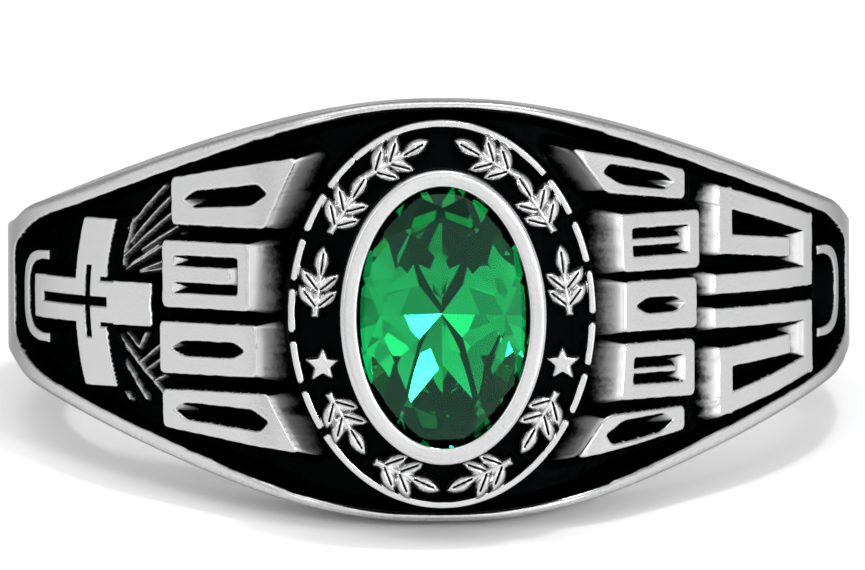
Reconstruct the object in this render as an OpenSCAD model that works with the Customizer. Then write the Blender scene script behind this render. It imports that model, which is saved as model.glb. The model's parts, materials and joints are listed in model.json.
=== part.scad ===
// Class ring lying on its side: one cast metal body with a raised relief, and an oval faceted stone.
// Millimetres. The ring is drawn with its finger hole along Z and its head towards -Y, then tipped
// onto the floor so that it rests on the rim of the head and the edge of the shank.
// A height is a distance from the middle of the finger hole towards the top of the head.

/* [Finger] */
// Diameter of the finger hole
finger_d = 17.3; // [16.5:0.1:19]

/* [Shank] */
// Thickness of the shank at the bottom
shank_wall = 1.6; // [1.3:0.1:2.2]
// Thickness of the shank at the two sides
side_wall = 1.95; // [1.7:0.05:2.4]
// Width of the shank at the bottom, along the finger
shank_w = 3.0; // [2.4:0.1:3.6]

/* [Shoulders] */
// How steeply the flanks open towards the head, in width per unit of height
flare = 0.47; // [0.4:0.01:0.55]
// Height at which the flanks start to open
flare_start = 2.1; // [1.4:0.1:2.8]
// Softness of the bend where the flanks start to open
flare_ease = 1.46; // [0.8:0.02:2.2]
// How fast the outline narrows away from the head, seen from the front
taper = 0.6; // [0.5:0.01:0.65]
// Softness of that outline over the middle of the head
taper_ease = 7.5; // [6.5:0.1:9]

/* [Head] */
// Width of the head along the finger
head_w = 10.5; // [9.8:0.1:11.2]
// Distance between the two corners where head and shoulders meet
head_span = 7.6; // [7:0.1:8.4]
// Metal above the finger hole at those corners
head_wall = 2.6; // [2.4:0.05:2.9]
// Rise of the head from the corners to its middle
crown = 0.15; // [0.05:0.05:0.4]
// Length of metal rounded off on each side of those corners
corner_ease = 1.5; // [0.6:0.1:2]

/* [Relief] */
// Width of the plain rim along both edges of the panels
rim_w = 0.35; // [0.25:0.05:0.5]
// Depth of the background under the rim on the curved sides
side_depth = 0.6; // [0.4:0.05:0.75]
// Depth of the background beside the head
head_depth = 1.0; // [0.7:0.05:1.1]
// Angle above the horizontal at which each panel ends
panel_end = 9; // [6:1:14]
// Width of the strokes of the key pattern
key_stroke = 0.38; // [0.28:0.02:0.42]
// Width of the grooves of the key pattern
key_gap = 0.25; // [0.17:0.02:0.29]
// Width of the strokes of the two hooked keys
hook_stroke = 0.5; // [0.36:0.02:0.56]
// Width of the foot of the cross
cross_w = 1.1; // [0.8:0.05:1.3]
// Width of the arm of the cross
cross_arm_w = 1.28; // [0.9:0.02:1.5]
// Length of the foot of the cross
cross_l = 5.1; // [4.4:0.1:5.4]
// Length of the arm of the cross
cross_arm_l = 4.2; // [3.4:0.1:4.4]
// Width of the line engraved in the cross
line_w = 0.2; // [0.14:0.02:0.3]
// Depth of the line engraved in the cross
line_depth = 0.22; // [0.1:0.02:0.3]
// Length of the thin bars at the ends of the panels
end_bar_l = 2.1; // [1.4:0.1:2.2]
// Radius that those bars are bent to
end_bar_r = 1.5; // [1.2:0.1:3]

/* [Plaque] */
// Width of the oval plaque across the finger
plaque_w = 7.6; // [7.2:0.1:8]
// Length of the oval plaque along the finger
plaque_l = 9.6; // [9.2:0.1:9.8]
// Height of the plaque's edge above the corners of the head
plaque_rise = 1.05; // [0.8:0.05:1.3]
// Rise of the plaque from its edge to the foot of the bezel
plaque_slope = 0.45; // [0.2:0.05:0.6]
// Height of the leaves and stars over the edge of the plaque
leaf_h = 0.6; // [0.4:0.05:0.75]
// Number of dashes round the edge
dashes = 23; // [16:1:32]
// Width of a dash
dash_w = 0.17; // [0.12:0.01:0.25]
// Height of a dash
dash_h = 0.2; // [0.1:0.02:0.3]
// Length of a leaf
leaf_l = 0.82; // [0.6:0.02:0.9]
// Width of a leaf
leaf_w = 0.3; // [0.2:0.02:0.36]
// Radius of a star
star_r = 0.4; // [0.3:0.02:0.45]

/* [Bezel and stone] */
// Width of the bezel across the finger
bezel_w = 5.1; // [4.9:0.1:5.4]
// Length of the bezel along the finger
bezel_l = 7.3; // [7:0.1:7.5]
// Height of the bezel above the edge of the plaque
bezel_h = 1.4; // [1.1:0.05:1.7]
// Width of the stone
stone_w = 4.5; // [4.1:0.05:4.55]
// Length of the stone
stone_l = 6.7; // [6.2:0.05:6.75]
// Height of the stone over its girdle
stone_crown = 0.58; // [0.4:0.02:0.8]
// Depth of the stone under its girdle
stone_pavilion = 1.9; // [1.5:0.05:2.2]
// Thickness of the stone's girdle
girdle = 0.14; // [0.08:0.01:0.25]
// Distance that the lip of the bezel reaches over the stone
lip_reach = 0.12; // [0.06:0.01:0.2]
// Thickness of the lip of the bezel
lip_h = 0.2; // [0.12:0.01:0.3]
// Clearance between the stone and its seat
seat_gap = 0.04; // [0.02:0.005:0.06]

/* [Hidden] */
$fn = 96;

metal = [0.80, 0.80, 0.82];
green = [0.02, 0.55, 0.32];
beyond = 30;

// The outside of the shank is a circle whose centre lies a little towards the head
bore_r = finger_d / 2;
shank_r = bore_r + side_wall;
shank_c = side_wall - shank_wall;
bottom_r = bore_r + shank_wall;

// Corners of the head, and the angle at which the straight shoulders leave the circle
corner_x = head_span / 2;
corner_h = bore_r + head_wall;
corner_r = norm([corner_x, corner_h - shank_c]);
shoulder_a = atan2(corner_h - shank_c, corner_x) - acos(shank_r / corner_r);
shoulder_l = sqrt(corner_r * corner_r - shank_r * shank_r);
crease = 0.03;

// Half the width of the ring: over X as seen from the front, and over the height as seen from the side
function front_w(x) = head_w / 2 - taper * (sqrt(x * x + taper_ease * taper_ease) - taper_ease);
function side_w(h) =
    shank_w / 2 + flare * ((h - flare_start) + sqrt(pow(h - flare_start, 2) + pow(flare_ease, 2))) / 2;

// Height at which the flanks reach the full width of the head
knee_q = (head_w - shank_w) / 2 / flare;
knee_h = flare_start + knee_q - pow(flare_ease, 2) / (4 * knee_q);

// Angle at which the ring rests on the floor
foot_w = side_w(-bottom_r);
tilt = atan((head_w / 2 - foot_w) / (knee_h + bottom_r));

// Heights of the plaque, bezel and stone
plaque_h = corner_h + plaque_rise;
bezel_top = plaque_h + bezel_h;
girdle_h = bezel_top - lip_h - seat_gap - lip_reach * stone_crown / (stone_w * 0.2) - girdle;
table_h = girdle_h + girdle + stone_crown;
table_share = 0.58;

// The band between the bezel and the dashes, where the leaves and stars stand
band_w = (plaque_w - 2 * dash_w + bezel_w) / 2;
band_l = (plaque_l - 2 * dash_w + bezel_l) / 2;

function lerp(a, b, t) = a + (b - a) * t;
function oval(w, l, n = 64) = [for (i = [0 : n - 1]) [w / 2 * cos(360 * i / n), l / 2 * sin(360 * i / n)]];
function mirror_w(points) = [for (i = [len(points) - 1 : -1 : 0]) [points[i][0], -points[i][1]]];

// Turns a front view (X, width) into a solid between two heights
module over(low, high) {
    rotate([90, 0, 0])
        translate([0, 0, low])
            linear_extrude(high - low) children();
}

// Turns a section (X, height) into a solid along the finger
module along_finger() {
    rotate([180, 0, 0])
        linear_extrude(2 * head_w, center = true) children();
}

// Turns a side view (height, width) into a solid across the finger
module across_finger() {
    rotate([90, 0, -90])
        linear_extrude(4 * shank_r, center = true) children();
}

// Stands a drawing on the shank's outer circle at an angle: its X runs down towards the shank
module on_side(angle) {
    translate([shank_r * cos(angle), -(shank_c + shank_r * sin(angle)), 0])
        rotate([90, 0, 90 - angle])
            translate([0, 0, -2 * head_depth])
                linear_extrude(6 * head_depth) children();
}

// Outline of the ring seen from the front, less an inset on both edges
front_steps = [for (i = [-14 : 14]) shank_r * 1.05 * i / 14];
module front_outline(inset) {
    top = [for (x = front_steps) [x, front_w(x) - inset]];
    polygon(concat(top, mirror_w(top)));
}

// Outline of the ring seen from the side, less an inset on both edges
side_steps = [for (i = [0 : 16]) lerp(-bottom_r, knee_h, i / 16)];
module side_outline(inset) {
    low = [-beyond, foot_w - inset];
    high = [beyond, head_w / 2 - inset];
    top = concat([low], [for (h = side_steps) [h, side_w(h) - inset]], [high]);
    polygon(concat(top, mirror_w(top)));
}

// Section of the ring across the finger
module ring_section() {
    foot = [(shank_r - crease) * cos(shoulder_a), shank_c + (shank_r - crease) * sin(shoulder_a)];
    corner = [corner_x, corner_h];
    low = corner + corner_ease * (foot - corner) / norm(foot - corner);
    high = [corner_x - corner_ease, corner_h + crown * (1 - pow(1 - corner_ease / corner_x, 2))];
    rounded = [for (t = [0 : 1 / 6 : 1]) lerp(lerp(low, corner, t), lerp(corner, high, t), t)];
    right = concat([foot], rounded);
    left = [for (i = [len(right) - 1 : -1 : 0]) [-right[i][0], right[i][1]]];
    translate([0, shank_c]) circle(shank_r);
    polygon(concat(right, [[0, corner_h + crown]], left));
}

// Section of the background that lies under the relief
module ground_section() {
    low = shank_r - head_depth;
    foot = [low * cos(shoulder_a), shank_c + low * sin(shoulder_a)];
    reach = shoulder_l - head_depth * tan(shoulder_a / 2);
    edge = [foot[0] - reach * sin(shoulder_a), foot[1] + reach * cos(shoulder_a)];
    translate([0, shank_c]) circle(shank_r - side_depth);
    polygon([foot, edge, [-edge[0], edge[1]], [-foot[0], foot[1]]]);
}

// The part of the section over the panels' ends
module panel_section() {
    far = 2 * shank_r;
    end = [far * cos(panel_end), shank_c + far * sin(panel_end)];
    polygon([[0, shank_c], end, [end[0], beyond], [-end[0], beyond], [-end[0], end[1]]]);
}

// Outline of both panels seen from the front, with their corners cut off
module panel_outline() {
    shoulder_x = shank_r * cos(panel_end + 11);
    end_x = shank_r * cos(panel_end);
    end_w = side_w(0) * 0.67;
    top = concat([[-end_x, end_w]],
        [for (i = [-12 : 12]) [shoulder_x * i / 12, front_w(shoulder_x * i / 12) - rim_w]],
        [[end_x, end_w]]);
    polygon(concat(top, mirror_w(top)));
}

// The ring without relief: shank, shoulders and head
module blank() {
    intersection() {
        along_finger() ring_section();
        over(-beyond, beyond) front_outline(0);
        across_finger() side_outline(0);
    }
}

// What is sunk between the rims, down to the background
module sunk_panels() {
    difference() {
        intersection() {
            along_finger() panel_section();
            over(0, beyond) panel_outline();
            across_finger() side_outline(rim_w);
        }
        along_finger() ground_section();
    }
}

// Rows of key pattern on the shoulders. Columns: start and end, as shares of the shoulder's length
// from the head's corner; then the lower and upper edge at the start and at the end, as shares of
// the panel's half width at the middle of the shoulder; then the side that the tongue grows from
panel_mid = front_w(corner_x + shoulder_l * sin(shoulder_a) / 2) - rim_w;
LEFT_ROWS = [
    [0.00, 0.84, 0.53, 1.02, 0.53, 0.84, 1],
    [0.17, 0.91, -0.01, 0.43, -0.01, 0.43, 0],
    [0.15, 0.93, -0.44, -0.10, -0.44, -0.10, 1],
    [0.00, 0.91, -0.93, -0.54, -0.79, -0.54, 0]
];
RIGHT_ROWS = [
    [-0.10, 0.70, 0.75, 1.06, 0.68, 0.88, 0],
    [0.09, 0.81, 0.23, 0.61, 0.23, 0.61, 1],
    [0.18, 0.79, -0.16, 0.17, -0.16, 0.17, 0],
    [0.12, 0.77, -0.60, -0.23, -0.60, -0.23, 1],
    [-0.08, 0.69, -0.98, -0.69, -0.82, -0.66, 0]
];

// Point of a row at a share along it and a share across it
function row_point(row, a, b) = [
    (lerp(row[0], row[1], a) - 1) * shoulder_l,
    lerp(lerp(row[2], row[4], a), lerp(row[3], row[5], a), b) * panel_mid
];
function row_box(row, a0, a1, b0, b1) =
    [row_point(row, a0, b0), row_point(row, a1, b0), row_point(row, a1, b1), row_point(row, a0, b1)];

// One block of the key pattern, as a frame. A high block holds a tongue that grows from one of
// its ends, and a low one has an opening with pointed ends
module key_block(row) {
    row_l = (row[1] - row[0]) * shoulder_l;
    row_h = (row[5] - row[4]) * panel_mid;
    a = key_stroke / row_l;
    b = key_stroke / row_h;
    ga = key_gap / row_l;
    gb = key_gap / row_h;
    if (row_h > 2 * key_stroke + 2.6 * key_gap) {
        difference() {
            polygon(row_box(row, 0, 1, 0, 1));
            difference() {
                polygon(row_box(row, a, 1 - a, b, 1 - b));
                if (row[6] == 1) polygon(row_box(row, 0, 1 - a - ga, b + gb, 1 - b - gb));
                if (row[6] == 0) polygon(row_box(row, a + ga, 1, b + gb, 1 - b - gb));
            }
        }
    } else {
        low = 0.5 - 0.75 * gb;
        high = 0.5 + 0.75 * gb;
        point_l = 1.5 * ga;
        difference() {
            polygon(row_box(row, 0, 1, 0, 1));
            polygon([for (q = [[a, 0.5], [a + point_l, low], [1 - a - point_l, low], [1 - a, 0.5],
                [1 - a - point_l, high], [a + point_l, high]]) row_point(row, q[0], q[1])]);
        }
    }
}

// A bent bar: a chain of straight strokes with square ends
module bent_bar(points, w) {
    for (i = [0 : len(points) - 2]) {
        step = points[i + 1] - points[i];
        translate(points[i])
            rotate(atan2(step[1], step[0]))
                translate([-w / 2, -w / 2]) square([norm(step) + w, w]);
    }
}

// The two hooked keys beside the right shoulder, mirror images of each other.
// Places are shares of the hooks' length and of the panel's half width there
hook_angle = 38;
hook_l = 3.7;
hook_half_w = front_w(shank_r * cos(hook_angle)) - rim_w;
HOOK = [[-0.5, 0.16], [0.5, 0.16], [0.5, 0.66], [-0.46, 0.97], [-0.46, 0.53], [0.18, 0.46]];
module hooked_keys() {
    path = [for (p = HOOK) [p[0] * hook_l, p[1] * hook_half_w]];
    bent_bar(path, hook_stroke);
    bent_bar([for (p = path) [p[0], -p[1]]], hook_stroke);
}

// The cross on the left side, its head towards the stone
cross_angle = 33.7;
cross_arm_at = -0.4;
module cross_shape() {
    square([cross_l, cross_w], center = true);
    translate([cross_arm_at, 0]) square([cross_arm_w, cross_arm_l], center = true);
}
module cross_lines() {
    translate([0.1 * cross_l, 0]) square([0.58 * cross_l, line_w], center = true);
    translate([cross_arm_at + 0.2, 0]) square([line_w, 0.42 * cross_arm_l], center = true);
}

// The thin curved bar at the outer end of a panel
bar_angle = 16;
module end_bar() {
    intersection() {
        translate([-end_bar_r, 0])
            difference() {
                circle(end_bar_r + key_gap / 2);
                circle(end_bar_r - key_gap / 2);
            }
        translate([-end_bar_r, -end_bar_l / 2]) square([2 * end_bar_r, end_bar_l]);
    }
}

// Everything that stands up from the background of the panels
module side_relief() {
    mirror([1, 0, 0]) on_side(shoulder_a) for (row = LEFT_ROWS) key_block(row);
    on_side(shoulder_a) for (row = RIGHT_ROWS) key_block(row);
    on_side(hook_angle) hooked_keys();
    mirror([1, 0, 0]) on_side(cross_angle) cross_shape();
    mirror([1, 0, 0]) on_side(bar_angle) end_bar();
    on_side(bar_angle) end_bar();
}

// The line engraved in the top of the cross
module engraved_cross() {
    mirror([1, 0, 0])
        difference() {
            on_side(cross_angle) cross_lines();
            translate([0, -shank_c, 0]) cylinder(r = shank_r - line_depth, h = 4 * head_w, center = true);
        }
}

// A laurel leaf as the overlap of two circles, its tip towards +X
module leaf() {
    r = (pow(leaf_l / 2, 2) + pow(leaf_w / 2, 2)) / leaf_w;
    translate([leaf_l / 2, 0])
        intersection() {
            translate([0, r - leaf_w / 2]) circle(r, $fn = 48);
            translate([0, leaf_w / 2 - r]) circle(r, $fn = 48);
        }
}

// A sprig: a short stem with a leaf at its tip and two pairs of smaller leaves below it
module sprig() {
    stem_w = 0.4 * leaf_w;
    translate([-0.85 * leaf_l, -stem_w / 2]) square([1.3 * leaf_l, stem_w]);
    translate([0.3 * leaf_l, 0]) scale(0.85) leaf();
    for (side = [-1, 1], at = [-0.6, -0.12])
        translate([at * leaf_l, 0]) rotate(side * 44) scale(0.75) leaf();
}

module star() {
    polygon([for (i = [0 : 9]) (i % 2 == 0 ? star_r : 0.42 * star_r) * [sin(36 * i), cos(36 * i)]]);
}

// Angles round the band: sprigs over the top and under the bottom, and the stars between them.
// Each sprig points up, away from the stars
UPPER_SPRIGS = [10, 40, 67, 113, 140, 170];
LOWER_SPRIGS = [218, 251, 289, 322];
STARS = [197, 343];
function band_point(a) = [band_w / 2 * cos(a), band_l / 2 * sin(a)];
function band_turn(a) = atan2(band_l * cos(a), -band_w * sin(a));
module band_motifs() {
    for (a = UPPER_SPRIGS) translate(band_point(a)) rotate(band_turn(a) + (a > 90 ? 180 : 0)) sprig();
    for (a = LOWER_SPRIGS) translate(band_point(a)) rotate(band_turn(a) + (a < 270 ? 0 : 180)) sprig();
    for (a = STARS) translate(band_point(a)) star();
}

// One dash of the edge of the plaque
module dash(i) {
    step = 360 / dashes;
    angles = [for (k = [0 : 3]) i * step + step * 0.82 * k / 3];
    outer = [for (a = angles) [plaque_w / 2 * cos(a), plaque_l / 2 * sin(a)]];
    inner = [for (k = [3 : -1 : 0])
        [(plaque_w / 2 - dash_w) * cos(angles[k]), (plaque_l / 2 - dash_w) * sin(angles[k])]];
    polygon(concat(outer, inner));
}

// The sloping top of the plaque, a low cone on an oval
module plaque_cone() {
    n = 64;
    foot = [for (p = oval(plaque_w - 2 * dash_w, plaque_l - 2 * dash_w, n)) [p[0], p[1], 0]];
    top = [for (p = oval(bezel_w, bezel_l, n)) [p[0], p[1], plaque_slope]];
    ring = [for (i = [0 : n - 1]) each [[i, n + i, n + (i + 1) % n], [i, n + (i + 1) % n, (i + 1) % n]]];
    polyhedron(concat(foot, top),
        concat([[for (i = [0 : n - 1]) i]], [[for (i = [n - 1 : -1 : 0]) n + i]], ring));
}

// The raised oval plaque with its dashes, leaves, stars and bezel
module plaque() {
    over(bore_r, plaque_h) polygon(oval(plaque_w, plaque_l));
    rotate([90, 0, 0]) translate([0, 0, plaque_h]) plaque_cone();
    over(plaque_h - dash_h, plaque_h + dash_h) for (i = [0 : dashes - 1]) dash(i);
    over(plaque_h - dash_h, plaque_h + leaf_h) band_motifs();
    over(plaque_h, bezel_top) polygon(oval(bezel_w, bezel_l));
}

// The seat under the stone: an open well, a ledge for the girdle and the opening inside the lip
module seat() {
    gap = 2 * seat_gap;
    ledge_h = girdle_h - 0.33;
    lip_low = bezel_top - lip_h;
    well_low = girdle_h - stone_pavilion - 3 * seat_gap;
    over(well_low, ledge_h + seat_gap) polygon(oval(stone_w - 0.7, stone_l - 0.7));
    over(ledge_h, lip_low) polygon(oval(stone_w + gap, stone_l + gap));
    over(lip_low - seat_gap, bezel_top + 1) polygon(oval(stone_w - 2 * lip_reach, stone_l - 2 * lip_reach));
}

// The stone in an oval brilliant cut: rings of corners from the table down to the culet.
// The facets are cut flat because each ring's height follows from the slopes beside it
star_share = 0.8;
low_share = 0.42;
function cut_ring(n, share, turn, h) = [for (i = [0 : n - 1])
    let (a = 360 * i / n + turn) [stone_w / 2 * share * cos(a), stone_l / 2 * share * sin(a), h]];
module brilliant() {
    star_drop = stone_crown * (1 - star_share * cos(22.5)) / (1 - table_share);
    low_drop = stone_pavilion * (1 - low_share * cos(22.5));
    points = concat(
        cut_ring(8, table_share, 0, girdle + stone_crown),
        cut_ring(8, star_share, 22.5, girdle + star_drop),
        cut_ring(16, 1, 0, girdle),
        cut_ring(16, 1, 0, 0),
        cut_ring(8, low_share, 22.5, -low_drop),
        [[0, 0, -stone_pavilion]]);
    next = [for (k = [0 : 7]) (k + 1) % 8];
    table = [[for (k = [7 : -1 : 0]) k]];
    crown_facets = [for (k = [0 : 7]) each [
        [k, next[k], 8 + k],
        [k, 8 + k, 16 + 2 * k],
        [next[k], 16 + 2 * next[k], 8 + k],
        [8 + k, 16 + 2 * k + 1, 16 + 2 * k],
        [8 + k, 16 + 2 * next[k], 16 + 2 * k + 1]]];
    edge_facets = [for (j = [0 : 15]) each [
        [16 + j, 16 + (j + 1) % 16, 32 + (j + 1) % 16],
        [16 + j, 32 + (j + 1) % 16, 32 + j]]];
    low_facets = [for (k = [0 : 7]) each [
        [32 + 2 * k, 32 + 2 * k + 1, 48 + k],
        [32 + 2 * k + 1, 32 + 2 * next[k], 48 + k],
        [32 + 2 * next[k], 48 + next[k], 48 + k],
        [48 + k, 48 + next[k], 56]]];
    polyhedron(points, concat(table, crown_facets, edge_facets, low_facets));
}

// Tips the ring onto the floor, with the middle of its box over the origin
table_reach = table_h * cos(tilt) + table_share * stone_l / 2 * sin(tilt);
bezel_reach = bezel_top * cos(tilt) + bezel_l / 2 * sin(tilt);
front_reach = max(table_reach, bezel_reach);
back_reach = bottom_r * cos(tilt) + foot_w * sin(tilt);
rise = bottom_r * sin(tilt) + foot_w * cos(tilt);
module at_rest() {
    translate([0, (front_reach - back_reach) / 2, rise]) rotate([-tilt, 0, 0]) children();
}

module ring_body() {
    color(metal)
        at_rest()
            difference() {
                union() {
                    difference() {
                        blank();
                        difference() {
                            sunk_panels();
                            side_relief();
                        }
                        engraved_cross();
                    }
                    plaque();
                }
                cylinder(r = bore_r, h = 4 * head_w, center = true);
                seat();
            }
}

module stone() {
    color(green)
        at_rest()
            rotate([90, 0, 0])
                translate([0, 0, girdle_h])
                    brilliant();
}

ring_body();
stone();
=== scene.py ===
# %% [markdown]
# # A class ring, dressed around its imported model
# The real ring is one silver casting with one faceted green stone in it. Its relief was cut by hand
# or by a machine into a master, so every raised form has a flat polished top, sloping walls and a
# blackened background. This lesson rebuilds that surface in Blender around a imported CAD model, which
# is loaded first and never moved.

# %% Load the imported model
import json
import math
import bmesh
import bpy
import numpy as np
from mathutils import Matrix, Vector

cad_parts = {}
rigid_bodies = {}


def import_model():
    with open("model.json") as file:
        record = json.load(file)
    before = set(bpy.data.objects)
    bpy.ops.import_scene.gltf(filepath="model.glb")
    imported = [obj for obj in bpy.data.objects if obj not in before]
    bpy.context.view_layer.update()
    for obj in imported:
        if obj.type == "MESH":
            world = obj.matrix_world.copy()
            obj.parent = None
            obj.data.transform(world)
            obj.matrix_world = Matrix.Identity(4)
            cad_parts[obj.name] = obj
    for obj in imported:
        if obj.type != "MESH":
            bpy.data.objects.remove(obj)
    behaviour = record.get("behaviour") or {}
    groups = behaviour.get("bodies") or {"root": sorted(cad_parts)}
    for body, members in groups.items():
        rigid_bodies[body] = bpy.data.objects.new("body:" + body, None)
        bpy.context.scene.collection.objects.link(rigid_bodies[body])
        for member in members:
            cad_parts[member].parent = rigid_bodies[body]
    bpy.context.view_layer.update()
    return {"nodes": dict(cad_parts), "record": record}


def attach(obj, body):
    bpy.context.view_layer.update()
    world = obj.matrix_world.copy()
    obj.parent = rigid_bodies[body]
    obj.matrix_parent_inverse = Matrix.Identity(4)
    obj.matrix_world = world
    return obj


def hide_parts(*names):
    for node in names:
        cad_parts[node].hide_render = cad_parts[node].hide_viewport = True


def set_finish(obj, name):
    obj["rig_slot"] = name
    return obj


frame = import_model()

# %% [markdown]
# ## The ring's own axes
# A ring maker thinks of a ring from the middle of the finger hole: across the finger, up to the top of
# the head, and along the finger. The ring lies tipped on the floor, so its shapes are drawn in those
# three directions and then turned into place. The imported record's finger hole gives both the place
# and the direction, so nothing has to be typed in or fitted.

# %% Turn ring sizes in millimetres into places in the scene
MM = 0.001
hole = next(m for m in frame["record"]["mounts"] if m["name"] == "finger_hole")
middle = Vector(hole["pos_m"])
along = Vector(hole["axis"])
across = Vector((1, 0, 0))
headward = across.cross(along)
tilt = math.atan2(along.y, along.z)
bore_r = hole["dims"]["r_mm"]


def in_scene(x, height, width):
    """Scene places, in metres, of points given in millimetres across, up to the head and along."""
    x, height, width = np.broadcast_arrays(x, height, width)
    steps = x[..., None] * np.array(across)
    steps = steps + height[..., None] * np.array(headward)
    steps = steps + width[..., None] * np.array(along)
    return np.array(middle) + MM * steps


print("The ring is tipped by", round(math.degrees(tilt), 2), "degrees")

# %% [markdown]
# ## The camera
# The photograph looks at the head almost straight on, from a few degrees over the middle of the ring
# and a touch to its left, through a long lens that hardly shows perspective. A camera could be placed
# by eye, but three numbers say it all here: how far over the ring it is, how far to the side, and how
# large a millimetre is in the picture.

# %% Place the camera
# Sizes and places in the picture are in pixels, angles in degrees and lengths in millimetres
picture_px = (865, 570)
px_per_mm = 40.3
view_over = 3.8
view_side = -1.6
head_px = (439.3, 307.8)
head_height = 10.0
camera_away = 620.0


def put_in_scene(name, data):
    """A new object in the scene that shows a mesh, a lamp or a camera."""
    made = bpy.data.objects.new(name, data)
    bpy.context.scene.collection.objects.link(made)
    return made


rise = tilt + math.radians(view_over)
turn = math.radians(view_side)
back = Vector((math.sin(turn) * math.cos(rise), -math.cos(turn) * math.cos(rise), math.sin(rise)))
looking = (-back).to_track_quat("-Z", "Y")
right_in_view = looking @ Vector((1, 0, 0))
up_in_view = looking @ Vector((0, 1, 0))
aim = Vector(in_scene(0.0, head_height, 0.0))
aim += right_in_view * MM * (picture_px[0] / 2 - head_px[0]) / px_per_mm
aim += up_in_view * MM * (head_px[1] - picture_px[1] / 2) / px_per_mm

lens = bpy.data.cameras.new("camera")
lens.sensor_width = 36.0
lens.lens = lens.sensor_width * camera_away * px_per_mm / picture_px[0]
lens.clip_start = 0.01
lens.clip_end = 10.0
camera = put_in_scene("camera", lens)
camera.location = aim + back * camera_away * MM
camera.rotation_mode = "QUATERNION"
camera.rotation_quaternion = looking
bpy.context.scene.camera = camera
print("Lens of", round(lens.lens), "mm,", round(math.degrees(rise), 1), "degrees over the floor")

# %% [markdown]
# ## Small tools for shapes
# The relief is a height over a surface, and the height comes from distances: how far a point lies
# from the edge of a drawn shape, less than nothing inside and more than nothing outside. Boolean cuts
# and bevels could make the same forms, but they leave razor edges or break on small shapes. Distances
# give every edge the same soft rounding and every wall the same slope, as a casting has.

# %% Measure distances to drawn shapes
far_off = 1e9


def to_segment(u, v, start, end):
    """Distance from the points (u, v) to a straight line between two points."""
    du = end[0] - start[0]
    dv = end[1] - start[1]
    share = ((u - start[0]) * du + (v - start[1]) * dv) / (du * du + dv * dv)
    share = np.clip(share, 0, 1)
    return np.hypot(u - start[0] - share * du, v - start[1] - share * dv)


def to_polygon(u, v, corners):
    """Distance to a closed outline, negative inside it."""
    near = np.full(np.shape(u), far_off)
    inside = np.zeros(np.shape(u), bool)
    for start, end in zip(corners, corners[1:] + corners[:1]):
        near = np.minimum(near, to_segment(u, v, start, end))
        if start[1] == end[1]:
            continue
        crossing = (start[1] > v) != (end[1] > v)
        cut = start[0] + (v - start[1]) * (end[0] - start[0]) / (end[1] - start[1])
        inside ^= crossing & (u < cut)
    return np.where(inside, -near, near)


def to_rectangle(u, v, centre, length, width, round_r=0.0):
    """Distance to an upright rectangle with rounded corners, negative inside it."""
    du = np.abs(u - centre[0]) - length / 2 + round_r
    dv = np.abs(v - centre[1]) - width / 2 + round_r
    outside = np.hypot(np.maximum(du, 0), np.maximum(dv, 0))
    return outside + np.minimum(np.maximum(du, dv), 0) - round_r


def softened(value, soft):
    """The value where it is over nothing and nothing below, with a rounded bend between them."""
    bend = (value + soft) ** 2 / (4 * soft)
    return np.where(value > soft, value, np.where(value < -soft, 0, bend))


def soft_least(a, b, soft):
    """The smaller of two values, with the corner between them rounded."""
    share = np.clip(0.5 + 0.5 * (b - a) / soft, 0, 1)
    return b * (1 - share) + a * share - soft * share * (1 - share)


def beside(u, v, start, end):
    """How far the points lie along a line and to its left, and the line's length."""
    du, dv = end[0] - start[0], end[1] - start[1]
    size = math.hypot(du, dv)
    on_line = ((u - start[0]) * du + (v - start[1]) * dv) / size
    left = ((v - start[1]) * du - (u - start[0]) * dv) / size
    return on_line, left, size


def to_bulging(u, v, corners, soft):
    """Distance to an outline that only bulges outward, with its corners softened."""
    middle_u = sum(point[0] for point in corners) / len(corners)
    middle_v = sum(point[1] for point in corners) / len(corners)
    far = None
    for start, end in zip(corners, corners[1:] + corners[:1]):
        off = beside(u, v, start, end)[1]
        if beside(middle_u, middle_v, start, end)[1] >= 0:
            off = -off
        far = off if far is None else -soft_least(-far, -off, soft)
    return far


print("From 3 mm beside its middle to a square of 2 mm:", to_rectangle(3.0, 0.0, (0, 0), 2, 2), "mm")

# %% [markdown]
# Nothing cast and polished by hand is quite even. A little grain moves edges by a hundredth of a
# millimetre and roughens the background. Blender's own noise works point by point in Python, which is
# slow for half a million points, so this one works on whole arrays. It is mixed from the points'
# places alone, and so it is the same in every run.

# %% Make an even grain from places
PRIMES = (73856093, 19349663, 83492791)


def eased(share):
    """The same share from 0 to 1, made to leave 0 and to reach 1 gently."""
    return share * share * (3 - 2 * share)


def grain(x, y, z, size, seed):
    """Smooth noise between -1 and 1 whose bumps are about size millimetres wide."""
    places = [np.asarray(p) / size for p in np.broadcast_arrays(x, y, z)]
    cells = [np.floor(p).astype(np.int64) for p in places]
    shares = [eased(p - c) for p, c in zip(places, cells)]
    total = 0.0
    for corner in range(8):
        steps = [corner & 1, corner >> 1 & 1, corner >> 2 & 1]
        mixed = np.int64(seed * 7919)
        weight = 1.0
        for cell, step, share, prime in zip(cells, steps, shares, PRIMES):
            mixed = mixed ^ (cell + step) * prime
            weight = weight * (share if step else 1 - share)
        mixed = (mixed ^ mixed >> 13) * 1274126177 & 0x7FFFFFFF
        mixed = (mixed ^ mixed >> 11) & 0xFFFF
        total = total + weight * (mixed / 32767.5 - 1)
    return total


print("Grain of 0.5 mm at three places:", np.round(grain([0.1, 0.4, 2.0], 0.0, 0.0, 0.5, 1), 3))

# %% [markdown]
# ## The section of the casting
# Cut across the finger, the ring is a round shank whose circle sits a little towards the head, two
# straight shoulders that leave the circle as tangents, and a low crowned head. These are the CAD
# model's own sizes. The line is walked from the middle of the head down the right side, and its
# length along the metal is what later places the relief.

# %% Walk the outside of the section
side_wall = 1.95
shank_wall = 1.6
head_wall = 2.6
head_span = 7.6
crown = 0.15
corner_ease = 1.5
walk_step = 0.01

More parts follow.
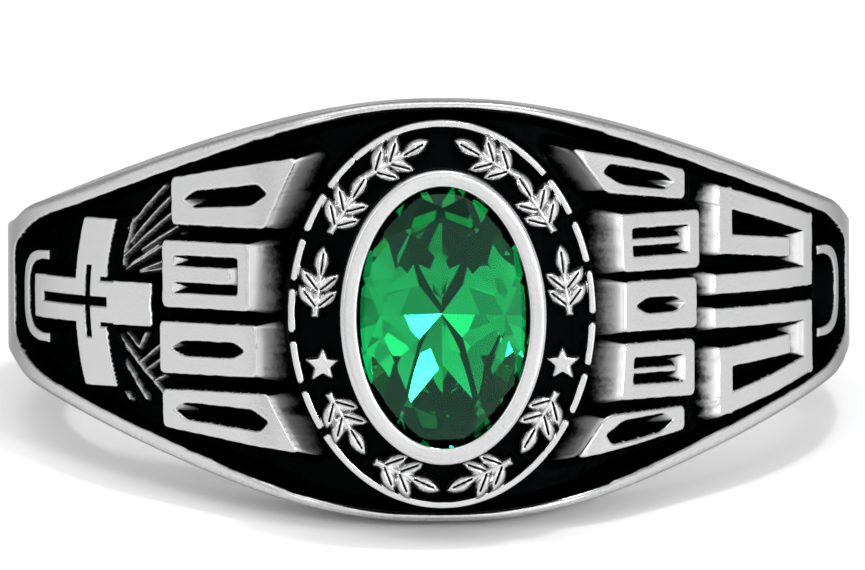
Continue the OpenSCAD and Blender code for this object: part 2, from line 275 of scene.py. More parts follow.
shank_r = bore_r + side_wall
shank_c = side_wall - shank_wall
bottom_r = bore_r + shank_wall
corner = np.array([head_span / 2, bore_r + head_wall])
corner_far = math.hypot(corner[0], corner[1] - shank_c)
shoulder_a = math.atan2(corner[1] - shank_c, corner[0]) - math.acos(shank_r / corner_far)
shoulder_l = math.sqrt(corner_far ** 2 - shank_r ** 2)


def on_circle(angle, r):
    return np.stack([r * np.cos(angle), shank_c + r * np.sin(angle)], -1)


foot = on_circle(shoulder_a, shank_r)
high_x = corner[0] - corner_ease
top_x = np.linspace(0, high_x, 40)
top = np.stack([top_x, corner[1] + crown * (1 - (top_x / corner[0]) ** 2)], -1)
low = corner + corner_ease * (foot - corner) / np.linalg.norm(foot - corner)
t = np.linspace(0, 1, 60)[:, None]
rounded = (1 - t) ** 2 * top[-1] + 2 * t * (1 - t) * corner + t ** 2 * low
arc = on_circle(np.linspace(shoulder_a, -math.pi / 2, 900), shank_r)
walk = np.concatenate([top, rounded[1:], arc])
walked = np.concatenate([[0], np.cumsum(np.linalg.norm(np.diff(walk, axis=0), axis=1))])
half_round = walked[-1]
foot_s = walked[len(top) + len(rounded) - 1]


def on_walk(s):
    """Place (x, height) at s millimetres down the right side."""
    return np.interp(s, walked, walk[:, 0]), np.interp(s, walked, walk[:, 1])


def section(s):
    """Place (x, height) and outward direction at s millimetres from the middle of the head."""
    s = (np.asarray(s, float) + half_round) % (2 * half_round) - half_round
    side = np.where(s < 0, -1.0, 1.0)
    s = np.abs(s)
    x, height = on_walk(s)
    after_x, after_h = on_walk(np.minimum(s + walk_step, half_round))
    # A step back from the middle of the head ends on the left side, where x is below nothing
    before = np.maximum(s - walk_step, -s)
    before_x, before_h = on_walk(np.abs(before))
    run_x = after_x - before_x * np.sign(before + 1e-12)
    run_h = after_h - before_h
    size = np.hypot(run_x, run_h)
    return side * x, height, side * -run_h / size, run_x / size


print("Once round the outside is", round(2 * half_round, 2), "mm")

# %% [markdown]
# ## The width along the finger
# Seen from the front the outline tapers from the head to the sides, and seen from the side the flanks
# open from a narrow shank to a broad head. The ring is as wide as the smaller of the two at each
# place. Rounding that choice keeps a hard crease off the polished flanks.

# %% Give the half width at each place of the section
shank_w = 3.0
flare = 0.47
flare_start = 2.1
flare_ease = 1.46
taper = 0.6
taper_ease = 7.5
head_w = 10.5
width_ease = 0.12


def front_w(x):
    """Half the width of the outline seen from the front."""
    return head_w / 2 - taper * (np.sqrt(x * x + taper_ease ** 2) - taper_ease)


def side_w(height):
    """Half the width of the outline seen from the side."""
    over = height - flare_start
    return shank_w / 2 + flare * (over + np.sqrt(over ** 2 + flare_ease ** 2)) / 2


def half_width(x, height):
    flanks = np.minimum(side_w(height), head_w / 2)
    return soft_least(front_w(x), flanks, width_ease)


widths = [head_w, 2 * float(side_w(0.0)), 2 * float(side_w(-bottom_r))]
print("Width at the head, side and bottom:", [round(width, 2) for width in widths])

# %% [markdown]
# ## Where the drawings lie
# Each group of raised shapes is drawn flat and laid on the ring at one angle, as a stamp is pressed
# on. The first direction of a drawing runs down towards the shank and the second along the finger.
# The same drawing frames are used in the CAD model, so the solid and the surface agree.

# %% Lay a flat drawing on the shank's circle
def on_side(x, height, angle):
    """First direction of the drawing laid at an angle, measured on either side of the ring."""
    right_x = np.abs(x) - shank_r * math.cos(angle)
    above = height - shank_c - shank_r * math.sin(angle)
    return right_x * math.sin(angle) - above * math.cos(angle)


print("The shoulders leave the circle at", round(math.degrees(shoulder_a), 1), "degrees")

# %% [markdown]
# ## The key pattern
# Rows of square meander blocks climb both shoulders. Each block is a frame cut through to the
# background. High blocks hold a tongue that grows from one end, and low ones have a pointed opening.
# The tables give each row as shares of the shoulder and of the panel, because that is how an engraver
# spaces a pattern, and one function draws them all.

# %% Draw the blocks of the key pattern
rim_w = 0.35
head_rim_w = 0.23
key_stroke = 0.38
key_gap = 0.25
panel_mid = float(front_w(corner[0] + shoulder_l * math.sin(shoulder_a) / 2)) - rim_w
tongue_room = 2 * key_stroke + 2.6 * key_gap
# Half the width of a pointed opening and the length of its points, counted in gaps
slit_half = 0.75
slit_tip = 1.5
block_soft = 0.16
opening_soft = 0.08

# Columns: start along the shoulder at the lower and at the upper edge; end; lower and upper edge at
# the start, then at the end; and 1 where the tongue grows from the start
LEFT_ROWS = [
    [0.17, -0.02, 0.84, 0.53, 1.00, 0.53, 0.84, 1],
    [0.28, 0.28, 0.91, -0.01, 0.43, -0.01, 0.43, 0],
    [0.23, 0.23, 0.93, -0.44, -0.10, -0.44, -0.10, 1],
    [-0.02, 0.16, 0.91, -0.92, -0.54, -0.79, -0.54, 0],
]
RIGHT_ROWS = [
    [0.12, -0.08, 0.70, 0.75, 1.05, 0.68, 0.88, 0],
    [0.23, 0.21, 0.81, 0.23, 0.61, 0.23, 0.61, 1],
    [0.24, 0.24, 0.79, -0.16, 0.17, -0.16, 0.17, 0],
    [0.21, 0.24, 0.77, -0.60, -0.23, -0.60, -0.23, 1],
    [-0.06, 0.12, 0.69, -0.97, -0.69, -0.82, -0.66, 0],
]


def mix(a, b, share):
    return a + (b - a) * share


def row_point(row, a, b):
    """A point of a row's drawing, from its shares along the row and across it."""
    start = mix(row[0], row[1], b)
    return (
        (mix(start, row[2], a) - 1) * shoulder_l,
        mix(mix(row[3], row[5], a), mix(row[4], row[6], a), b) * panel_mid,
    )


def row_box(row, a0, a1, b0, b1):
    return [row_point(row, a, b) for a, b in ((a0, b0), (a1, b0), (a1, b1), (a0, b1))]


def key_block(u, v, row):
    """Distance to one block of the key pattern."""
    row_l = (row[2] - (row[0] + row[1]) / 2) * shoulder_l
    row_h = (row[6] - row[5]) * panel_mid
    a, b = key_stroke / row_l, key_stroke / row_h
    ga, gb = key_gap / row_l, key_gap / row_h
    block = to_bulging(u, v, row_box(row, 0, 1, 0, 1), block_soft)
    if row_h > tongue_room:
        opening = to_bulging(u, v, row_box(row, a, 1 - a, b, 1 - b), opening_soft)
        ends = (0, 1 - a - ga) if row[7] else (a + ga, 1)
        tongue = to_bulging(u, v, row_box(row, *ends, b + gb, 1 - b - gb), opening_soft)
        opening = np.maximum(opening, -tongue)
    else:
        low_b, high_b, tip = 0.5 - slit_half * gb, 0.5 + slit_half * gb, slit_tip * ga
        places = [(a, 0.5), (a + tip, low_b), (1 - a - tip, low_b)]
        places += [(1 - a, 0.5), (1 - a - tip, high_b), (a + tip, high_b)]
        opening = to_bulging(u, v, [row_point(row, *place) for place in places], opening_soft)
    return np.maximum(block, -opening)


def key_rows(x, height, v, rows):
    u = on_side(x, height, shoulder_a)
    return np.minimum.reduce([key_block(u, v, row) for row in rows])


print("The key pattern has", len(LEFT_ROWS), "blocks on the left and", len(RIGHT_ROWS), "on the right")

# %% [markdown]
# ## The hooked keys, the cross and the end bars
# Beyond the blocks the right side carries a mirrored pair of hooked keys, and the left side a Latin
# cross with a line engraved in it, whose arm bows a little towards the head. A thin curved bar closes
# each panel. Keys and cross are bars with square ends, so distances to rectangles draw them, and half
# of an oval band with full corners draws the curved bars.

# %% Draw the hooked keys
hook_angle = math.radians(38)
hook_l = 3.7
hook_stroke = 0.5
hook_round = 0.06
hook_half_w = float(front_w(shank_r * math.cos(hook_angle))) - rim_w
HOOK = [[-0.5, 0.16], [0.5, 0.16], [0.5, 0.66], [-0.46, 0.97], [-0.46, 0.53], [0.18, 0.46]]


def bent_bar(u, v, points, thick):
    """Distance to a bar bent at each of its points, with square ends."""
    near = far_off
    for start, end in zip(points, points[1:]):
        on_bar, off_bar, size = beside(u, v, start, end)
        bar = to_rectangle(on_bar, off_bar, (size / 2, 0), size + thick, thick, hook_round)
        near = np.minimum(near, bar)
    return near


def hooked_keys(x, height, v):
    u = on_side(x, height, hook_angle)
    path = [(a * hook_l, b * hook_half_w) for a, b in HOOK]
    return bent_bar(u, np.abs(v), path, hook_stroke)


print("The panel is", round(2 * hook_half_w, 2), "mm wide at the hooked keys")

# %% Draw the cross and its engraved line
cross_angle = math.radians(33.7)
cross_l = 5.1
cross_w = 1.1
cross_arm_l = 4.2
cross_arm_w = 1.28
cross_arm_at = -0.31
cross_bow = 0.1
cross_round = 0.07
line_w = 0.2
line_depth = 0.22
line_lean = 0.42
# Middle and length of the line's long stroke, as shares of the cross's length
line_stem = (0.1, 0.58)
# Middle of its short stroke, in millimetres, and its length as a share of the arm's
line_arm_at = -0.2
line_arm = 0.42
nick_out = 0.02
nick_size = (0.5, 0.07)


def on_cross(x, height, v):
    """First direction of the cross's drawing. The ends of its arm bow towards the head."""
    return on_side(x, height, cross_angle) + cross_bow * v * v


def cross_shape(x, height, v):
    u = on_cross(x, height, v)
    stem = to_rectangle(u, v, (0, 0), cross_l, cross_w, cross_round)
    arm = to_rectangle(u, v, (cross_arm_at, 0), cross_arm_w, cross_arm_l, cross_round)
    return np.minimum(stem, arm)


def cross_lines(x, height, v):
    u = on_cross(x, height, v)
    stem = to_rectangle(u, v, (line_stem[0] * cross_l, 0), line_stem[1] * cross_l, line_w)
    arm = to_rectangle(u, v, (line_arm_at, 0), line_w, line_arm * cross_arm_l)
    nick_u = cross_arm_at - cross_arm_w / 2
    nick = to_rectangle(u, np.abs(v), (nick_u, cross_w / 2 + nick_out), *nick_size)
    return np.minimum(np.minimum(stem, arm), nick)


def engraved(line):
    """Depth of the engraved line, which is a rounded groove with leaning walls."""
    wall = softened(-line + 0.02, 0.03) / line_lean
    return line_depth - softened(line_depth - wall, 0.05)


print("The cross is", cross_l, "by", cross_arm_l, "mm, and its line", line_depth, "mm deep")

# %% Draw the bars that close the panels
bar_angle = math.radians(16)
end_bar_arm = 1.6
end_bar_outer = (1.72, 1.15)
end_bar_inner = (1.34, 0.92)


def to_boxy_oval(u, v, size):
    """Rough distance to an oval with full corners, from its half sizes."""
    far = (np.abs(u / size[0]) ** 3 + np.abs(v / size[1]) ** 3) ** (1 / 3)
    return (far - 1) * (size[0] + size[1]) / 2


def end_bar(x, height, v):
    u = on_side(x, height, bar_angle) + end_bar_arm
    band = np.maximum(to_boxy_oval(u, v, end_bar_outer), -to_boxy_oval(u, v, end_bar_inner))
    return np.maximum(band, -u)


print("The end bars lie at", round(math.degrees(bar_angle)), "degrees")

# %% [markdown]
# ## The rays behind the cross
# A fan of fine rays rises above the cross's arm and nested chevrons lie below it. They are low roof
# shaped ridges in the black background. The wheel only reaches their crests, which shine, and their
# slopes are a worn dark grey. Each ray is a short line of points in the cross's own drawing frame.

# %% Draw the rays as lines
RAYS = [
    [(-1.40, 1.83), (-2.72, 2.96)],
    [(-1.50, 1.50), (-2.85, 2.66)],
    [(-1.28, 1.14), (-3.10, 2.40)],
    [(-1.90, 1.32), (-3.13, 1.96)],
    [(-1.34, 0.82), (-3.28, 1.77)],
    [(-1.47, 0.93), (-2.47, 1.45)],
    [(-1.84, 0.80), (-2.85, 1.14)],
    [(-1.90, 0.77), (-2.85, 0.92)],
    [(-1.62, 2.10), (-1.50, 1.79), (-1.34, 1.36), (-1.22, 0.92)],
    [(-1.40, -0.74), (-1.84, -1.11), (-2.06, -0.74)],
    [(-1.84, -1.48), (-2.66, -0.94)],
    [(-1.10, -0.82), (-2.03, -1.68), (-2.66, -1.31)],
    [(-1.28, -1.07), (-2.34, -1.93), (-2.66, -2.22)],
    [(-2.34, -1.93), (-2.78, -1.74)],
    [(-1.22, -1.44), (-2.10, -2.38)],
    [(-1.28, -2.22), (-1.47, -2.42)],
]
ray_half = 0.16
ray_h = 0.26


def to_rays(x, height, v):
    """Distance to the nearest ray."""
    u = on_side(x, height, cross_angle)
    strokes = [stroke for ray in RAYS for stroke in zip(ray, ray[1:])]
    return np.minimum.reduce([to_segment(u, v, *stroke) for stroke in strokes])


print("There are", len(RAYS), "rays and chevrons")

# %% [markdown]
# ## From distances to depth
# The panels are sunk between plain rims, and the shapes are left standing. So the depth at a point
# depends on one distance, the way to the nearest standing metal. It starts with a rounded edge, runs
# down a wall that leans by twelve degrees, as a mould needs, and ends in a small fillet. In a narrow
# opening the two walls meet before they reach the background, which gives the deep V of a real cut.

# %% Sink the panels between their rims
panel_end = math.radians(9)
end_corner = math.radians(20)
side_depth = 0.6
head_depth = 1.0
draft = math.tan(math.radians(12))
edge_soft = 0.03
foot_soft = 0.14
corner_soft = 0.3
end_soft = 0.35
arc_end = foot_s + shank_r * (shoulder_a - panel_end)
corner_s = foot_s + shank_r * (shoulder_a - end_corner)
end_share = 0.67
end_half_w = float(side_w(0.0)) * end_share
corner_half_w = float(front_w(shank_r * math.cos(end_corner))) - rim_w
rim_grows_from = 3.0
rim_grows_over = 3.6


def rim_here(x):
    """Width of the rim, which is narrow round the head and full on the sides."""
    share = np.clip((np.abs(x) - rim_grows_from) / rim_grows_over, 0, 1)
    return mix(head_rim_w, rim_w, eased(share))


def inside_panel(s, x, width, half):
    """Distance from a point inside a panel to its rim, negative on the rim."""
    slope = (end_half_w - corner_half_w) / (arc_end - corner_s)
    cut = corner_half_w + slope * (s - corner_s) - np.abs(width)
    rim = half - rim_here(x) - np.abs(width)
    room = soft_least(rim, cut / math.hypot(1, slope), corner_soft)
    return soft_least(room, arc_end - s, end_soft)


def background(x, height):
    """Depth of the background: deeper beside the head than on the curved sides."""
    u = np.minimum(on_side(x, height, shoulder_a), 0)
    circle = np.sqrt(np.maximum((shank_r - side_depth) ** 2 - u ** 2, (shank_r - head_depth) ** 2))
    return shank_r - circle


def walled(way, deep, soft=edge_soft):
    """Depth at a distance from standing metal, down a leaning wall to a depth."""
    wall = softened(way, soft) / draft
    return deep - softened(deep - wall, foot_soft * np.minimum(deep, 1))


print("The background is", head_depth, "mm deep beside the head and", side_depth, "mm on the sides")

# %% [markdown]
# The blackening stays wherever a polishing wheel can't reach. So each point also gets a tarnish
# value, from nothing on the polished tops to one in the background. The ramps that face the head are
# neither polished nor black but matt, and get a value of their own for that. The material turns both
# into looks later. They are kept on the points, because a depth can't be found again from a mesh.

# %% Lean a ramp on the side of each key that faces the head
ramp_lean = 0.68
ramp_share = draft / ramp_lean
ramp_below = 0.9
ramp_fade = 0.3
keys_from = foot_s - shoulder_l * 1.3


def ramped(s, way):
    """The same distance, but growing slowly on the side of each shape that faces the head."""
    way = np.maximum(way, 0)
    steps = np.abs(np.diff(s[:, 0]))
    middle_i = int(np.argmin(np.abs(s[:, 0])))
    for i in range(len(way) - 2, middle_i - 1, -1):
        way[i] = np.minimum(way[i], way[i + 1] + ramp_share * steps[i])
    for i in range(1, middle_i + 1):
        way[i] = np.minimum(way[i], way[i - 1] + ramp_share * steps[i - 1])
    return way


def key_distance(s, x, height, width):
    """Distance to the nearest block or hooked key."""
    left_shapes = key_rows(x, height, width, LEFT_ROWS)
    right_shapes = key_rows(x, height, width, RIGHT_ROWS)
    right_shapes = np.minimum(right_shapes, hooked_keys(x, height, width))
    keys = np.where(s > 0, right_shapes, left_shapes)
    return np.where(np.abs(s) > keys_from, keys, far_off)


def with_ramps(s, motif, deep):
    """The same distance with the ramps, and how surely a point is on a ramp, from 0 to 1."""
    slow = ramped(s, motif)
    # A point is on a ramp where the slow distance has fallen well below the plain one
    on_ramp = np.clip((ramp_below - slow / np.maximum(motif, 0.001)) / ramp_fade, 0, 1)
    headward_next = np.where(s > 0, np.roll(on_ramp, 1, axis=0), np.roll(on_ramp, -1, axis=0))
    on_ramp = np.maximum(on_ramp, headward_next) * (motif > 0)
    run = slow / (draft * deep)
    slow = mix(slow, draft * deep * run * (1 + run) / 2, on_ramp)
    return np.where(motif < 0, motif, slow), on_ramp


print("A ramp leans out by", ramp_lean, "mm for each mm of its depth")

# %% Work out depth, tarnish and mattness over the whole outside
edge_wobble = 0.011
rim_wobble = 0.02
floor_bump = 0.022
floor_swell = 0.03
wall_bump = 0.02
wall_black = 0.07
groove_black = 0.08
ray_slope_wear = 0.44
ray_crest_wear = 0.3
ramp_top_black = 0.06
ramp_foot_black = 0.72
ramp_curve = 1.25
streak_black = 0.2
streaks_from = 0.15
ramp_margin = 0.05


def ramp_tarnish(x, height, width, depth, deep):
    """Tarnish of the ramps: little at the top, more below, and in streaks."""
    # Grain that is finer along the finger than round the ring makes streaks
    streaks = grain(x * 0.8, height * 0.8, width * 3.2, 1.0, 8)
    streaks = streaks + 0.5 * grain(x * 2, height * 2, width * 9, 1.0, 9)
    below = ramp_top_black + ramp_foot_black * (depth / deep) ** ramp_curve
    return below + streak_black * streaks * np.clip(depth / streaks_from, 0, 1)


def relief(s, x, height, width, half):
    """Depth under the plain casting, tarnish and mattness, at places on the outside."""
    place = (x, height, width)
    wobble = edge_wobble * grain(*place, 0.22, 3)
    deep = background(x, height)
    motif, on_ramp = with_ramps(s, key_distance(s, *place) + wobble, deep)
    steep = inside_panel(np.abs(s), x, width, half) + rim_wobble * grain(*place, 0.7, 4)
    steep = np.minimum(steep, end_bar(*place))
    steep = np.minimum(steep, np.where(s > 0, far_off, cross_shape(*place))) + wobble
    way = np.minimum(steep, motif)
    on_ramp = on_ramp * np.clip((steep - motif) / ramp_margin, 0, 1)
    depth = walled(way, deep)
    tarnish = np.clip(depth / wall_black, 0, 1)
    tarnish = mix(tarnish, np.minimum(tarnish, ramp_tarnish(*place, depth, deep)), on_ramp)
    floor_share = np.clip(depth / deep, 0, 1) ** 4
    on_wall = 4 * floor_share * (1 - floor_share)
    depth = depth + floor_share * floor_bump * grain(*place, 0.16, 5)
    depth = depth + floor_share * floor_swell * grain(*place, 0.6, 6)
    depth = depth + on_wall * wall_bump * grain(*place, 0.09, 7)
    ridge = np.where(s > 0, far_off, to_rays(*place))
    roof = np.clip(1 - ridge / ray_half, 0, 1) * floor_share
    depth = depth - ray_h * roof
    tarnish = tarnish - ray_slope_wear * np.clip(2 * roof, 0, 1) - ray_crest_wear * roof ** 4
    line = np.where(s > 0, far_off, cross_lines(*place))
    groove = np.where(way < 0, engraved(line), 0)
    tarnish = np.maximum(tarnish, np.clip(groove / groove_black, 0, 1))
    return np.maximum(depth, groove), np.clip(tarnish, 0, 1), on_ramp


print("Walls are black from", wall_black, "mm down")

# %% [markdown]
# ## One skin for shank, flanks, hole and relief
# The casting is a loop of sections. At each station along the outside, a closed line runs over the
# relief, round the outer edge, down the flank, round the edge of the hole and back through the hole.
# Joining neighbouring lines with quads gives a closed mesh with no seams or stray faces. Near the
# rims the lines follow the edge at fixed distances, so the rims come out clean.

# %% Lay out the lines that run along the ring
edge_r = 0.13
hole_edge = (0.28, 0.5)
relief_lines = 236
near_rim = [0, 0.07, 0.13, 0.17, 0.2, 0.225, 0.25, 0.275, 0.3, 0.325, 0.35, 0.38, 0.41, 0.45, 0.5]
inner_from = 0.54
satin_tarnish = 0.24
satin_w = 0.14


def section_lines(s):
    """Closed lines (stations, points) of place in millimetres, tarnish and mattness."""
    x, height, nx, nh = (value[:, None] for value in section(s))
    half = half_width(x, height)
    flat = half - edge_r
    inner = np.linspace(-1, 1, relief_lines - 2 * len(near_rim))[None, :]
    left_lines = -flat + np.array(near_rim)
    width = np.concatenate([left_lines, inner * (flat - inner_from), -left_lines[:, ::-1]], axis=1)
    spread = np.ones_like(width)
    place = (x * spread, height * spread, width)
    depth, tarnish, matt = relief(s[:, None] * spread, *place, half * spread)
    satin = satin_tarnish * np.clip((np.abs(width) - flat + satin_w) / satin_w, 0, 1)
    outside = (x - nx * depth, height - nh * depth, width, np.maximum(tarnish, satin), matt)
    flank = flank_line(x, height, nx, nh)
    mirrored = [part[:, ::-1] for part in flank]
    mirrored[2] = -mirrored[2]
    bore = bore_line(*to_hole(x, height, nx, nh), nx, nh)
    columns = [outside, flank, bore, mirrored]
    return [np.concatenate([column[k] for column in columns], axis=1) for k in range(5)]


def to_hole(x, height, nx, nh):
    """Place on the finger hole's wall, straight under a place on the outside."""
    down = x * nx + height * nh
    down = down - np.sqrt(down ** 2 - (x ** 2 + height ** 2 - bore_r ** 2))
    return x - nx * down, height - nh * down


def flank_line(x, height, nx, nh):
    """From the outer edge down the flank and round the edge of the hole."""
    swing = np.radians(np.array([18, 36, 54, 72, 90]))[None, :]
    in_by = edge_r * (1 - np.cos(swing))
    ex, eh = x - nx * in_by, height - nh * in_by
    ew = half_width(ex, eh) - edge_r * (1 - np.sin(swing))
    hx, hh = to_hole(x, height, nx, nh)
    share = np.linspace(0, 1, 14)[None, 1:]
    fx = mix(ex[:, -1:], hx + nx * hole_edge[0], share)
    fh = mix(eh[:, -1:], hh + nh * hole_edge[0], share)
    fw = half_width(fx, fh)
    out_by = hole_edge[0] * (1 - np.sin(swing))
    bw = fw[:, -1:] - hole_edge[1] * (1 - np.cos(swing))
    columns = ((ex, fx, hx + nx * out_by), (eh, fh, hh + nh * out_by), (ew, fw, bw))
    parts = [np.concatenate(column, axis=1) for column in columns]
    return parts + [np.full_like(parts[0], satin_tarnish), np.zeros_like(parts[0])]


def bore_line(hx, hh, nx, nh):
    """Across the finger hole, from one edge to the other."""
    half = half_width(hx + nx * hole_edge[0], hh + nh * hole_edge[0]) - hole_edge[1]
    width = half * np.linspace(1, -1, 12)[None, 1:-1]
    spread = np.ones_like(width)
    return hx * spread, hh * spread, width, 0 * spread, 0 * spread


print("The relief is drawn by", relief_lines, "lines")

# %% Turn stations into a mesh
def new_piece(name, places, faces, smooth=True, **kept_values):
    """A mesh object from scene places and faces, with values such as its tarnish on the points."""
    mesh = bpy.data.meshes.new(name)
    mesh.from_pydata(places.reshape(-1, 3), [], faces)
    mesh.update()
    flags = np.array([smooth and len(face) < 5 for face in faces])
    mesh.polygons.foreach_set("use_smooth", flags)
    for flat_face in np.flatnonzero(~flags):
        for loop in mesh.polygons[flat_face].loop_indices:
            mesh.edges[mesh.loops[loop].edge_index].use_edge_sharp = True
    for kept_name, values in kept_values.items():
        kept = mesh.attributes.new(kept_name, "FLOAT", "POINT")
        kept.data.foreach_set("value", np.asarray(values, np.float32).ravel())
    piece = put_in_scene(name, mesh)
    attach(piece, "root")
    print(name, "has", sum(len(face) - 2 for face in faces), "triangles")
    return piece


def loop_faces(stations, points, closed):
    """Quads between neighbouring closed lines, and end caps where the row of lines is open."""
    order = np.arange(stations * points).reshape(stations, points)
    if closed:
        order = np.concatenate([order, order[:1]])
    after = np.roll(order, -1, axis=1)
    quads = np.stack([order[:-1], order[1:], after[1:], after[:-1]], -1).reshape(-1, 4).tolist()
    if not closed:
        quads.append(order[0].tolist())
        quads.append(order[-1][::-1].tolist())
    return quads


def casting(name, lines):
    """One stretch of the casting from its closed lines, with flat ends."""
    x, height, width, tarnish, matt = lines
    faces = loop_faces(*x.shape, False)
    piece = new_piece(name, in_scene(x, height, width), faces, tarnish=tarnish, matt=matt)
    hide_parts("ring_body")
    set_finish(piece, "oxidised_silver")


# %% [markdown]
# The casting is split where the shoulders meet the curved sides and where the panels end, only so
# that each mesh stays light. Stations lie close together over the relief, and further apart under
# the plaque and round the plain shank, with short steps beside each split so that the polish runs
# on without a line.

# %% Build the casting in four meshes
fine = 0.036
plaque_step = 0.15
plain_step = 0.4
before_shoulder = 0.75
past_end = 0.5


def steps_between(start, end, size):
    """Even stations about size millimetres apart."""
    return np.linspace(start, end, max(2, int(round((end - start) / size)) + 1))


def eased_steps(start, end, small, large, growth=1.35):
    """Stations that start and end with small steps and grow to large ones in between."""
    rising = [0.0]
    step = small
    while step < large:
        rising.append(rising[-1] + step)
        step *= growth
    rising = np.array(rising)
    middle_part = steps_between(start + rising[-1], end - rising[-1], large)[1:-1]
    return np.concatenate([start + rising, middle_part, (end - rising)[::-1]])


relief_start = foot_s - shoulder_l - before_shoulder
head_part = steps_between(0.0, relief_start, plaque_step)
shoulder_part = steps_between(relief_start, foot_s, fine)[1:]
side_end = arc_end + past_end
side_part = steps_between(foot_s, side_end, fine)[1:]
right_half = np.concatenate([head_part, shoulder_part, side_part])
relief_stations = np.concatenate([-right_half[:0:-1], right_half])
relief_skin = section_lines(relief_stations)
shank_stations = eased_steps(side_end, 2 * half_round - side_end, fine, plain_step)

from_foot = len(side_part)
casting("left_side", [part[:from_foot + 1] for part in relief_skin])
casting("head_and_shoulders", [part[from_foot:-from_foot] for part in relief_skin])
casting("right_side", [part[-from_foot - 1:] for part in relief_skin])
casting("shank", section_lines(shank_stations))

# %% [markdown]
# ## The plaque
# A raised oval plaque carries the stone. Its edge is a row of short dashes, and its sloping band holds
# ten small laurel sprigs and two stars, all left standing with polished tops. The stars are flat, and
# each leaf is slightly domed, with a vein cut down its middle. The plaque is drawn on a grid that runs
# round the oval, because then the grid follows the edge, the dashes and the bezel.

# %% Draw sprigs and stars by distance
plaque_w = 7.6
plaque_l = 9.6
plaque_rise = 1.05
plaque_h = corner[1] + plaque_rise
plaque_slope = 0.45
leaf_h = 0.6
leaf_l = 0.86
leaf_w = 0.37
leaf_turn = math.radians(44)
tip_leaf = 0.85
side_leaf = 0.75
leaves_at = (-0.6, -0.12)
star_r = 0.4
star_inner = 0.48
dash_w = 0.17
dash_h = 0.2
dashes = 23
bezel_w = 5.1
bezel_l = 7.3
band_w = (plaque_w - 2 * dash_w + bezel_w) / 2
band_l = (plaque_l - 2 * dash_w + bezel_l) / 2
UPPER_SPRIGS = [10, 40, 67, 113, 140, 170]
LOWER_SPRIGS = [218, 251, 289, 322]
STARS = [197, 343]


def turned_to(u, v, place, angle):
    """The points as seen from a place, with the first direction turned to an angle."""
    c, s = math.cos(angle), math.sin(angle)
    return (u - place[0]) * c + (v - place[1]) * s, (v - place[1]) * c - (u - place[0]) * s


def leaf(u, v, size):
    """Distance to a leaf whose tip points along u, and to the vein down its middle."""
    length, width = size * leaf_l, size * leaf_w
    r = ((length / 2) ** 2 + (width / 2) ** 2) / width
    one = np.hypot(u - length / 2, v - (r - width / 2)) - r
    other = np.hypot(u - length / 2, v + (r - width / 2)) - r
    vein = to_segment(u, v, (0.1 * length, 0), (0.8 * length, 0))
    return np.maximum(one, other), vein


def sprig(u, v):
    """Distance to a sprig, and to the veins of its leaves."""
    stem = to_rectangle(u, v, (-0.2 * leaf_l, 0), 1.3 * leaf_l, 0.4 * leaf_w)
    shape, veins = leaf(u - 0.3 * leaf_l, v, tip_leaf)
    shape = np.minimum(shape, stem)
    for side in (-1, 1):
        for at in leaves_at:
            lu, lv = turned_to(u, v, (at * leaf_l, 0), side * leaf_turn)
            one, vein = leaf(lu, lv, side_leaf)
            shape = np.minimum(shape, one)
            veins = np.minimum(veins, vein)
    return shape, veins


def star(u, v):
    """Distance to a star with five points, and to the lines from its middle to the points."""
    corners = []
    for k in range(10):
        r = star_r if k % 2 == 0 else star_inner * star_r
        corners.append((r * math.sin(math.radians(36 * k)), r * math.cos(math.radians(36 * k))))
    arms = [to_segment(u, v, (0, 0), point) for point in corners[::2]]
    return to_polygon(u, v, corners), np.minimum.reduce(arms)


def band_place(angle):
    """Place on the middle line of the band at an angle, and the direction of the line there."""
    a = math.radians(angle)
    heading = math.atan2(band_l * math.cos(a), -band_w * math.sin(a))
    return (band_w / 2 * math.cos(a), band_l / 2 * math.sin(a)), heading


def band_motifs(x, width):
    """Distance to the nearest sprig or star, to the leaves' veins and to the arms of the stars."""
    sprigs = []
    for angle in UPPER_SPRIGS + LOWER_SPRIGS:
        place, heading = band_place(angle)
        # Every sprig points to the nearer end of the oval
        if angle % 180 > 90:
            heading += math.pi
        sprigs.append(sprig(*turned_to(x, width, place, heading)))
    places = [band_place(angle)[0] for angle in STARS]
    stars = [star(x - place[0], width - place[1]) for place in places]
    shape = np.minimum.reduce([motif[0] for motif in sprigs + stars])
    veins = np.minimum.reduce([motif[1] for motif in sprigs])
    return shape, veins, np.minimum.reduce([motif[1] for motif in stars])


print("The band carries", len(UPPER_SPRIGS + LOWER_SPRIGS), "sprigs and", len(STARS), "stars")

# %% [markdown]
# The dashes stand apart on the two long sides of the oval. At its two ends they run together into one
# plain line, as if the maker's tool had not been lifted there.

# %% Draw the dashes round the edge
joined_from = 0.73
dash_share = 0.82


def to_dashes(angle, in_by, speed):
    """Distance to the nearest dash. speed is the millimetres that the edge runs for one radian."""
    step = 2 * math.pi / dashes
    half_dash = dash_share / 2 * step
    along_dash = np.abs((angle % step) - half_dash) - half_dash + dash_w / 2 / speed
    along_dash = np.maximum(along_dash, 0) * speed
    gap_at = (np.floor(angle / step) + (1 + dash_share) / 2) * step
    along_dash = np.where(np.abs(np.sin(gap_at)) > joined_from, 0, along_dash)
    return np.hypot(along_dash, in_by - dash_w / 2) - dash_w / 2


print("There are", dashes, "dashes and gaps round the edge")

